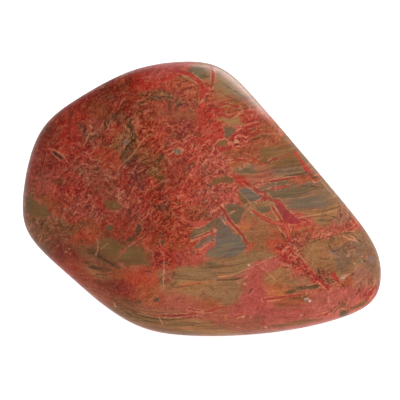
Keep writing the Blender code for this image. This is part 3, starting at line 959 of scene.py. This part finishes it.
def nearWeights(pixels):
    for tint, x, y, halfWide, halfHigh, turn, texture in zones.values():
        c, s = math.cos(math.radians(turn)), math.sin(math.radians(turn))
        dx, dy = pixels[:, 0] - x, pixels[:, 1] - y
        reach = ((dx * c - dy * s) / halfWide) ** 2 + ((dx * s + dy * c) / halfHigh) ** 2
        fade = zoneSoftness["least"] / (1 + reach)
        yield np.exp(-reach * zoneSoftness["contrast"]) + fade, tint, texture


def farWeights(out):
    for tint, azimuth, elevation, spread, texture in farZones.values():
        angle = np.degrees(np.arccos(np.clip(out @ np.array(facing(azimuth, elevation)), -1, 1)))
        weight = np.exp(-(angle / spread) ** 2 * zoneSoftness["contrast"])
        yield weight + zoneSoftness["least"], tint, texture


# Tint and texture at each point, from the soft zones around it
def zoneFields(place):
    pixels = place.pixels
    for far, span, shift in zoneSoftness["warp"]:
        pixels = pixels + wander(place.points, span, shift)[:, :2] * far
    near = meanLook(nearWeights(pixels))
    for tint, texture, soft, corners in washes.values():
        some, edge = patchEdge(place, corners, pixels)
        share = ease(edge, -soft, soft)[:, None]
        near[some] = near[some] * (1 - share) + lookOf(tint, texture) * share
    low, high = (np.array(corner) for corner in cadBox)
    out = (place.points - (low + high) / 2) / (high - low) * 2 + place.out * zoneSoftness["farFacing"]
    for far, span, shift in zoneSoftness["farWarp"]:
        out += wander(place.points, span, shift) * far
    out /= np.linalg.norm(out, axis=1)[:, None]
    return near * place.seen[:, None] + meanLook(farWeights(out)) * (1 - place.seen[:, None])


# How well each point took the polish
def glossField(place):
    shine = np.zeros(len(place.points))
    stops = list(zip(gloss["along"], gloss["reach"]))
    for (start, nearReach), (end, farReach) in zip(stops, stops[1:]):
        distance, along = segmentDistance(place.points / mm, start, end)
        share = distance / (nearReach + (farReach - nearReach) * along)
        shine = np.maximum(shine, ease(share, 1.0, gloss["core"]))
    return shine


def storeField(mesh, name, values):
    store = mesh.attributes.new(name, "FLOAT", "POINT")
    store.data.foreach_set("value", np.ascontiguousarray(values, np.float32))


def storeTint(mesh, name, values):
    opaque = np.concatenate([values, np.ones((len(values), 1))], axis=1).astype(np.float32)
    mesh.attributes.new(name, "FLOAT_COLOR", "POINT").data.foreach_set("color", opaque.ravel())


# Where the pits lie: as in the photograph, and scattered over the rest
def pitCentres(place):
    visible = np.nonzero(place.seen > pits["seen"])[0]
    chosen = [visible[np.argmin(np.linalg.norm(place.pixels[visible] - np.array(spot), axis=1))]
        for spot in pits["inPhoto"]]
    clear = np.nonzero(place.points[:, 2] > pits["footClear"] * mm)[0]
    draw = np.random.default_rng(pits["seed"])
    return place.points[chosen + list(draw.choice(clear, pits["count"], replace=False))]


# Presses a pit into the surface around each point of another object
def pitTree():
    tree = bpy.data.node_groups.new("pressPits", "GeometryNodeTree")
    for name, kind in (("Geometry", "Geometry"), ("Pit Places", "Object"), ("Narrowest Half", "Float"),
            ("Widest Half", "Float"), ("Deepest", "Float"), ("Finish", "Material")):
        tree.interface.new_socket(name, in_out="INPUT", socket_type="NodeSocket" + kind)
    tree.interface.new_socket("Geometry", in_out="OUTPUT", socket_type="NodeSocketGeometry")
    w = Wiring(tree)
    given = w.add("NodeGroupInput").outputs
    places = w.add("GeometryNodeObjectInfo", {"Object": given["Pit Places"]}).outputs["Geometry"]
    near = w.add("GeometryNodeProximity", {0: places}, target_element="POINTS").outputs
    scale, lowest, highest = pits["draw"]
    draw = w.noise(near["Position"], scale, 0.0)
    half = w.ease(draw, lowest, highest, given["Narrowest Half"], given["Widest Half"])
    hollow = w.ease(w.math("DIVIDE", near["Distance"], half), *pits["bowl"])
    deep = w.product(hollow, given["Deepest"], -1.0)
    offset = w.scaled(w.add("GeometryNodeInputNormal").outputs["Normal"], deep)
    shape = given["Geometry"]
    for kind, values in (("GeometryNodeSetPosition", {"Offset": offset}),
            ("GeometryNodeStoreNamedAttribute", {"Name": "pit", "Value": hollow}),
            ("GeometryNodeRealizeInstances", {}),
            ("GeometryNodeSetMaterial", {"Material": given["Finish"]})):
        shape = w.add(kind, {"Geometry": shape, **values}).outputs[0]
    w.put(w.add("NodeGroupOutput").inputs[0], shape)
    return tree


def pressPits(stone, centres, finish):
    mesh = bpy.data.meshes.new("pitPlaces")
    mesh.from_pydata([tuple(c) for c in centres], [], [])
    helper = linked("pitPlaces", mesh)
    press = stone.modifiers.new("pits", "NODES")
    press.node_group = pitTree()
    narrow, wide = pits["half"]
    values = {"Pit Places": helper, "Narrowest Half": narrow * mm, "Widest Half": wide * mm,
        "Deepest": pits["deepest"] * mm, "Finish": finish}
    for socket in press.node_group.interface.items_tree:
        if socket.in_out == "INPUT" and socket.name in values:
            press[socket.identifier] = values[socket.name]
    applyModifiers(stone)
    bpy.data.objects.remove(helper)
    print("skin:", len(centres), "pits pressed")


# Cuts the squares once more where the edge of a crisp mark or a pit runs through them
def cutFiner(mesh, place, fields, centres):
    edges = np.max([-np.abs(values) for values in fields.values()], axis=0)
    edges[place.seen <= skin["fineSeen"]] = marks["farEdge"]
    toPit = np.min([np.linalg.norm(place.points - c, axis=1) for c in centres], axis=0) / mm
    edges = np.maximum(edges, pits["half"][0] - toPit)
    close = edges > -skin["fineNear"]
    shape = bmesh.new()
    shape.from_mesh(mesh)
    chosen = [face for face in shape.faces if any(close[v.index] for v in face.verts)]
    room = (skin["triangleLimit"] - 2 * len(shape.faces)) // skin["fineTriangles"]
    print("skin: fine squares wanted", len(chosen), "and room for", room)
    chosen.sort(key=lambda face: -max(edges[v.index] for v in face.verts))
    sides = {edge for face in chosen[:room] for edge in face.edges}
    sides = sorted(sides, key=lambda side: side.index)
    bmesh.ops.subdivide_edges(shape, edges=sides, cuts=1, use_grid_fill=True, smooth=0.0)
    shape.to_mesh(mesh)
    print("skin:", sum(len(face.verts) - 2 for face in shape.faces), "triangles")
    shape.free()


# The slight waviness of a hand-lapped face, kept out of the foot
def undulate(mesh, place):
    shift = np.zeros(len(place.points))
    for depth, span in skin["undulation"]:
        shift += wander(place.points, span, skin["undulationShift"])[:, 0] * depth * mm
    clear = ease(place.points[:, 2], *(height * mm for height in skin["undulateAbove"]))
    moved = place.points + place.out * (shift * clear)[:, None]
    moved[:, 2] = np.maximum(moved[:, 2], 0.0)
    mesh.vertices.foreach_set("co", moved.ravel())
    mesh.update()


def makeStone():
    noise.seed_set(skin["seed"])
    stone = refinedSkin(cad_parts["stone"])
    undulate(stone.data, Place(stone.data))
    place = Place(stone.data)
    centres = pitCentres(place)
    cutFiner(stone.data, place, markFields(place)[0], centres)
    pressPits(stone, centres, jasperFinish())
    mesh = stone.data
    place = Place(mesh)
    fields, colours = markFields(place)
    zone = zoneFields(place)
    storeTint(mesh, "zoneTint", zone[:, :3])
    for column, name in enumerate(textureParts, start=3):
        storeField(mesh, name, zone[:, column])
    storeField(mesh, "gloss", glossField(place))
    for name in fields:
        storeField(mesh, name + "Edge", fields[name])
    for name in colours:
        storeTint(mesh, name + "Tint", colours[name])
    mesh.shade_smooth()
    return stone


# Short words for building a node tree
class Wiring:
    def __init__(self, tree):
        self.tree = tree

    def put(self, socket, value):
        if isinstance(value, bpy.types.NodeSocket):
            self.tree.links.new(value, socket)
        else:
            socket.default_value = value

    def add(self, kind, values=None, **settings):
        made = self.tree.nodes.new(kind)
        for name, value in settings.items():
            setattr(made, name, value)
        for name, value in (values or {}).items():
            self.put(made.inputs[name], value)
        return made

    def attribute(self, name, output="Fac"):
        return self.add("ShaderNodeAttribute", attribute_name=name).outputs[output]

    def math(self, operation, *values):
        return self.add("ShaderNodeMath", dict(enumerate(values)), operation=operation).outputs[0]

    def vector(self, operation, *values):
        made = self.add("ShaderNodeVectorMath", dict(enumerate(values)), operation=operation)
        return made.outputs[0]

    def scaled(self, vector, factor):
        made = self.add("ShaderNodeVectorMath", {"Vector": vector, "Scale": factor}, operation="SCALE")
        return made.outputs[0]

    def dot(self, vector, along):
        made = self.add("ShaderNodeVectorMath", {0: vector, 1: along}, operation="DOT_PRODUCT")
        return made.outputs["Value"]

    def product(self, first, *others):
        for other in others:
            first = self.math("MULTIPLY", first, other)
        return first

    def timesPlus(self, value, factor, more):
        return self.math("MULTIPLY_ADD", value, factor, more)

    # Rises from least to most while the value goes from low to high
    def ease(self, value, low, high, least=0.0, most=1.0):
        values = {"Value": value, "From Min": low, "From Max": high, "To Min": least, "To Max": most}
        return self.add("ShaderNodeMapRange", values, interpolation_type="SMOOTHSTEP").outputs[0]

    # A noise turned into this much each way around nothing
    def centred(self, value, swing):
        return self.timesPlus(value, swing, -0.5 * swing)

    # 1 on the contour where a value passes a level, full over a third, fading out this far each side
    def lineWhere(self, value, level, half):
        return self.ease(self.math("ABSOLUTE", self.math("SUBTRACT", value, level)), half, half * 0.35)

    def blend(self, share, first, second):
        return self.add("ShaderNodeMix", {0: share, 2: first, 3: second}, data_type="FLOAT").outputs[0]

    # Colour laid over another; either may be the name of a tint
    def mix(self, amount, first, second):
        colours = [(*linear(c), 1) if isinstance(c, str) else c for c in (first, second)]
        values = {0: amount, 6: colours[0], 7: colours[1]}
        return self.add("ShaderNodeMix", values, data_type="RGBA").outputs[2]

    def noise(self, vector, scale, detail=2.0, roughness=0.5, layer=None, output=0):
        values = {"Vector": vector, "Scale": scale, "Detail": detail, "Roughness": roughness}
        if layer is not None:  # the node scales W too
            values["W"] = self.math("DIVIDE", layer, scale)
        kind = "3D" if layer is None else "4D"
        return self.add("ShaderNodeTexNoise", values, noise_dimensions=kind).outputs[output]

    # Places pushed about by a noise, this far
    def bent(self, vector, scale, far, detail, roughness):
        push = self.noise(vector, scale, detail, roughness, output=1)
        return self.vector("ADD", vector, self.scaled(self.vector("SUBTRACT", push, (0.5,) * 3), far))

    def stretched(self, vector, turn, scale):
        return self.add("ShaderNodeMapping", {"Vector": vector, "Rotation": turn, "Scale": scale}).outputs[0]


# Plain noises: features for each millimetre, detail, roughness, and a shift that sets it apart
noises = {
    "cloud": (0.17, 4, 0.62),
    "cloudLow": (0.3, 4, 0.62, (40, 9, 77)),
    "fleck": (0.5, 2, 0.5, (91, 33, 5)),
    "crowd": (0.10, 2, 0.5),
    "fray": (0.42, 4, 0.62),
    "rim": (0.16, 2, 0.5),
    "swell": (0.14, 2, 0.5),
    "grain": (1.1, 4, 0.75),
    "polish": (0.35, 3, 0.6),
    "filled": (0.09, 1, 0.5),
    "farEdge": (0.5, 3, 0.6),
    "farSwell": (0.045, 3, 0.6, (17, 60, 8)),
    "farHue": (0.07, 2, 0.5),
}
# How the web of red shreds runs: features for each millimetre
webLook = {
    "lean": (-0.08, 0.03, 0.10),  # layers of shreds for each millimetre that way
    "drift": ((0.045, 3.4), (0.15, 1.0)),  # slow swirls that the shreds follow: scale, and layers of each
    # Along and across, where 1 across is one layer
    "strands": {"shred": (0.12, 1.3), "sliver": (0.20, 2.2), "thread": (0.26, 6.8),
        "hatch": (0.36, 10.0), "filament": (0.20, 3.8)},
    "detail": (3, 0.6),
    "apart": 17.0,  # layers between one kind of strand and the next
    "reds": (0.85, 0.15),  # share of the red strands for the zone's shreds, and everywhere
    "crowded": (0.38, 0.60, 0.06, 0.0),  # pale threads are fewer where this noise is low
}
bedLook = {
    "turn": (math.radians(4), math.radians(-6), 0),
    "bend": (0.04, 9.0, 2, 0.5),  # as a noise's scale, how far in millimetres, detail and roughness
    "detail": (4, 0.6),
    "sheets": {"broad": (0.022, 0.022, 0.26), "fine": (0.040, 0.040, 0.85), "thin": (0.060, 0.060, 1.7),
        "finger": (0.11, 0.11, 0.90), "clast": (0.06, 0.06, 0.40)},
}
# Pieces of broken bed on the sides that the photograph doesn't show, healed by veins; in millimetres
brokenLook = {
    "span": (19.0, 19.0, 9.0),
    "turn": (0.10, -0.35, 0.5),
    "bend": (0.06, 10.0, 3, 0.6),
    "gap": (0.45, 0.75),  # from a gap's middle to where a piece starts, and where it is full
    "rough": 0.9,
    "swell": (0.40, 0.66, -0.35, 1.15),  # the narrowest and the widest veins
    "tints": ("slate", "olive", "tan", "greenSlate", "ochre", "greyTan"),
    "draws": (0.15, 0.14, 0.11, 0.005),  # where the first tint's draws start, step, width and softness
    "strength": 0.85,
    "vein": (-0.15, 0.15),
    "rim": (-0.35, 0.35),
    "rimSeen": (0.45, 0.55, 0.0, 0.45),
    "hue": (0.45, 0.56),  # where the veins turn from wine to scarlet
}
# Layers of colour: what is read, where it starts, where it is full, how strong, tint, and where it lies
layers = {
    "clouds": [
        ("cloud", 0.54, 0.70, 0.24, "brown"),
        ("cloud", 0.46, 0.30, 0.22, "crimson"),
        ("cloudLow", 0.57, 0.70, 0.24, "olive"),
        ("cloudLow", 0.43, 0.30, 0.20, "rust"),
    ],
    "shreds": [
        ("shred", 0.50, 0.44, 0.20, "darkCrimson", "reds"),
        ("shred", 0.54, 0.60, 0.22, "flame", "reds"),
        ("hatch", 0.50, 0.42, 0.66, "shade", "reds"),
        ("hatch", 0.51, 0.60, 0.15, "palePink", "reds"),
        ("fleck", 0.58, 0.68, 0.40, "mauve", "shreds"),
        ("fleck", 0.40, 0.30, 0.25, "brown", "shreds"),
    ],
    "threads": [
        ("sliver", 0.53, 0.56, 0.60, "olive", "slivers"),
        ("sliver", 0.57, 0.60, 0.80, "ink", "slivers"),
        ("sliver", 0.59, 0.64, 0.35, "darkOlive", "reds"),
        ("lit", 0.52, 0.57, 0.15, "palePink", "reds"),
        ("lit", 0.57, 0.61, 0.50, "palePink", "threads"),
        ("thread", 0.46, 0.40, 0.50, "shade", "reds"),
        ("broad", 0.52, 0.36, 0.70, "olive", "bed"),
        ("broad", 0.54, 0.68, 0.45, "rust", "bed"),
    ],
    "clast": [
        ("clast", 0.50, 0.34, 0.55, "umber"),
        ("clast", 0.52, 0.68, 0.50, "tan"),
    ],
    "laminae": [
        ("fine", 0.50, 0.36, 0.60, "umber", "lined"),
        ("fine", 0.52, 0.66, 0.45, "ochre", "lined"),
        ("thin", 0.44, 0.34, 0.50, "darkOlive", "lined"),
        ("thin", 0.58, 0.68, 0.35, "palePink", "lined"),
    ],
    "vein": [
        ("hatch", 0.48, 0.40, 0.40, "shade"),
        ("hatch", 0.54, 0.62, 0.35, "pink"),
    ],
    "farVein": [
        ("hatch", 0.50, 0.40, 0.55, "shade"),
        ("hatch", 0.53, 0.62, 0.35, "pink"),
    ],
    "grain": [
        ("grain", 0.49, 0.36, 0.80, "shade", "coarse"),
        ("grain", 0.53, 0.66, 0.42, "palePink", "coarse"),
    ],
}
# Edges of the marks, in millimetres: where a mark starts and is full, and how strong it is. A rim has
# its place and its half width, and is seen where a noise rises from low to high, least to most.
edgeLook = {
    "fray": 2.4,
    "fingers": 4.0,  # how far a patch reaches out along the bedding
    "patch": (-0.30, 0.40),
    "patchStrength": 0.90,
    "patchRim": (-0.25, 0.55),
    "patchRimSeen": (0.46, 0.60, 0.05, 0.60),
    "vein": (-0.22, 0.16),
    "veinStrength": 0.88,
    "veinSwell": 2.0,
    "veinFray": 0.5,
    "veinRim": (-0.38, 0.34),
    "veinRimSeen": (0.47, 0.55, 0.0, 0.40),
    "veinCore": (0.12, 0.25),
    "filament": (0.50, 0.030),
    "filamentStrength": 0.60,
    "rimInBeds": (-0.7, 1.0),  # factor and sum: beds show fewer rims
    "laminaeInPatch": (-0.4, 1.0),
    "grainInMarks": (-0.6, 1.0),
    "grainInShreds": (0.75, 0.25),
    "pitFilled": (0.50, 0.56),
    "pitShadeAndFilling": (0.65, 0.55),  # of an empty pit's shade, and of a filling
}
# Small marks: how ragged, a shift of the edge in millimetres, where they start and are full, how
# strong, and a tint, where it isn't each mark's own
smallMarks = {
    "spot": (0.90, -0.15, -0.30, 0.30, 0.70, None),
    "ink": (0.35, 0.0, -0.24, 0.20, 0.66, "ink"),
    "pale": (0.22, 0.0, -0.18, 0.12, 0.60, "palePink"),
}


def jasperFinish():
    material = bpy.data.materials.new("redCreekJasper")
    material.use_nodes = True
    w = Wiring(material.node_tree)
    surface = material.node_tree.nodes["Principled BSDF"]
    place = w.scaled(w.add("ShaderNodeTexCoord").outputs["Object"], 1 / mm)
    read = {name: w.attribute(name) for name in textureParts}
    for name, (scale, detail, roughness, *shift) in noises.items():
        at = w.vector("ADD", place, *shift) if shift else place
        read[name] = w.noise(at, scale, detail, roughness)

    def over(colour, group):
        for name, start, full, most, tint, *where in layers[group]:
            amount = w.ease(read[name], start, full, 0.0, most)
            colour = w.mix(w.product(amount, *(read[area] for area in where)), colour, tint)
        return colour

    # Cloudy change of hue, then the red web, drawn out along slow swirls
    drift = w.dot(place, webLook["lean"])
    for scale, swirl in webLook["drift"]:
        drift = w.timesPlus(w.noise(place, scale), swirl, drift)
    for step, (name, (along, across)) in enumerate(webLook["strands"].items()):
        layer = w.timesPlus(drift, across, step * webLook["apart"])
        read[name] = w.noise(place, along, *webLook["detail"], layer)
    reds = read["reds"] = w.timesPlus(read["shreds"], *webLook["reds"])
    read["lit"] = w.math("SUBTRACT", read["thread"], w.ease(read["crowd"], *webLook["crowded"]))
    level = w.bent(place, *bedLook["bend"])
    for name, scale in bedLook["sheets"].items():
        read[name] = w.noise(w.stretched(level, bedLook["turn"], scale), 1.0, *bedLook["detail"])
    colour = over(over(w.attribute("zoneTint", "Color"), "clouds"), "shreds")
    filament = w.product(w.lineWhere(read["filament"], *edgeLook["filament"]), edgeLook["filamentStrength"])
    colour = w.mix(w.product(reds, filament), colour, "scarlet")
    colour = over(colour, "threads")

    # Broken beds: each piece takes one of the tints, and veins part the pieces where they swell
    cells = w.stretched(w.bent(place, *brokenLook["bend"]), brokenLook["turn"],
        tuple(1 / span for span in brokenLook["span"]))
    edge, draw = (w.add("ShaderNodeTexVoronoi", {"Vector": cells, "Scale": 1.0}, feature=kind).outputs
        for kind in ("DISTANCE_TO_EDGE", "F1"))
    rough = w.centred(read["farEdge"], brokenLook["rough"])
    edge = w.timesPlus(edge["Distance"], min(brokenLook["span"]), rough)
    draw = w.add("ShaderNodeSeparateColor", {"Color": draw["Color"]}).outputs[0]
    inPiece = w.product(read["broken"], w.ease(edge, *brokenLook["gap"]))
    first, step, wide, soft = brokenLook["draws"]
    for count, name in enumerate(brokenLook["tints"]):
        start = first + count * step
        end = start + wide
        inTint = w.product(w.ease(draw, start - soft, start), w.ease(draw, end + soft, end))
        colour = w.mix(w.product(inPiece, inTint, brokenLook["strength"]), colour, name)
    inside = w.math("SUBTRACT", w.ease(read["farSwell"], *brokenLook["swell"]), edge)
    farVein = w.product(read["broken"], w.ease(inside, *brokenLook["vein"]), edgeLook["veinStrength"])
    farRim = w.product(read["broken"], w.lineWhere(inside, *brokenLook["rim"]),
        w.ease(read["thread"], *brokenLook["rimSeen"]))

    # Patches, whose edges fray: along the bedding where there is bedding, every way elsewhere
    bed = read["bed"]
    fray = w.centred(read["fray"], edgeLook["fray"])
    fingers = w.centred(read["finger"], edgeLook["fingers"])
    patch = w.math("ADD", w.attribute("patchEdge"), w.blend(bed, fray, fingers))
    rim = w.product(w.ease(read["rim"], *edgeLook["patchRimSeen"]), w.timesPlus(bed, *edgeLook["rimInBeds"]))
    colour = w.mix(w.product(w.lineWhere(patch, *edgeLook["patchRim"]), rim), colour, "pink")
    inPatch = w.ease(patch, *edgeLook["patch"])
    clast = over(w.attribute("patchTint", "Color"), "clast")
    colour = w.mix(w.product(inPatch, edgeLook["patchStrength"]), colour, clast)

    # Laminae and hair seams run on through the patches
    read["lined"] = w.product(bed, w.timesPlus(inPatch, *edgeLook["laminaeInPatch"]))
    colour = over(colour, "laminae")

    # Veins with pale rims, on the photographed side and then on the others
    swell = w.timesPlus(fray, edgeLook["veinFray"], w.centred(read["swell"], edgeLook["veinSwell"]))
    vein = w.math("ADD", w.attribute("veinEdge"), swell)
    rim = w.ease(read["thread"], *edgeLook["veinRimSeen"])
    colour = w.mix(w.product(w.lineWhere(vein, *edgeLook["veinRim"]), rim), colour, "palePink")
    red = over(w.attribute("veinTint", "Color"), "vein")
    red = w.mix(w.lineWhere(vein, *edgeLook["veinCore"]), red, "wine")
    inVein = w.ease(vein, *edgeLook["vein"])
    colour = w.mix(w.product(inVein, edgeLook["veinStrength"]), colour, red)
    colour = w.mix(farRim, colour, "palePink")
    farRed = w.mix(w.ease(read["farHue"], *brokenLook["hue"]), "wine", "scarlet")
    colour = w.mix(farVein, colour, over(farRed, "farVein"))

    for name, (ragged, shift, start, full, most, tint) in smallMarks.items():
        edge = w.math("ADD", w.attribute(name + "Edge"), w.timesPlus(fray, ragged, shift))
        tint = tint or w.attribute(name + "Tint", "Color")
        colour = w.mix(w.ease(edge, start, full, 0.0, most), colour, tint)

    # Empty pits are darkened with umber as painted shade in the hollow; filled pits hold a pale filling
    pit = w.attribute("pit")
    shade, filling = edgeLook["pitShadeAndFilling"]
    filled = w.ease(read["filled"], *edgeLook["pitFilled"])
    # painted shade: umber laid into the pits that hold no filling
    colour = w.mix(w.product(pit, w.timesPlus(filled, -shade, shade)), colour, "umber")
    colour = w.mix(w.product(pit, filled, filling), colour, "bone")

    # Fine grain of the polished cut, coarse in the red web and faint in the bedding, clasts and veins
    calm = w.timesPlus(w.math("MAXIMUM", inPatch, inVein), *edgeLook["grainInMarks"])
    read["coarse"] = w.product(w.timesPlus(read["shreds"], *edgeLook["grainInShreds"]), calm)
    colour = over(colour, "grain")

    w.put(surface.inputs["Base Color"], colour)
    w.put(surface.inputs["Roughness"], w.ease(read["polish"], *gloss["polish"], *gloss["roughness"]))
    surface.inputs["IOR"].default_value = gloss["index"]
    w.put(surface.inputs["Specular IOR Level"], w.blend(w.attribute("gloss"), *gloss["specular"]))
    strength, depth = gloss["grain"]
    bump = w.add("ShaderNodeBump", {"Height": read["grain"], "Strength": strength, "Distance": depth})
    w.put(surface.inputs["Normal"], bump.outputs[0])
    print("finish:", len(material.node_tree.nodes), "nodes")
    return material


setUpCamera()
setUpStudio()
stone = makeStone()
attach(stone, "root")
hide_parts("stone")
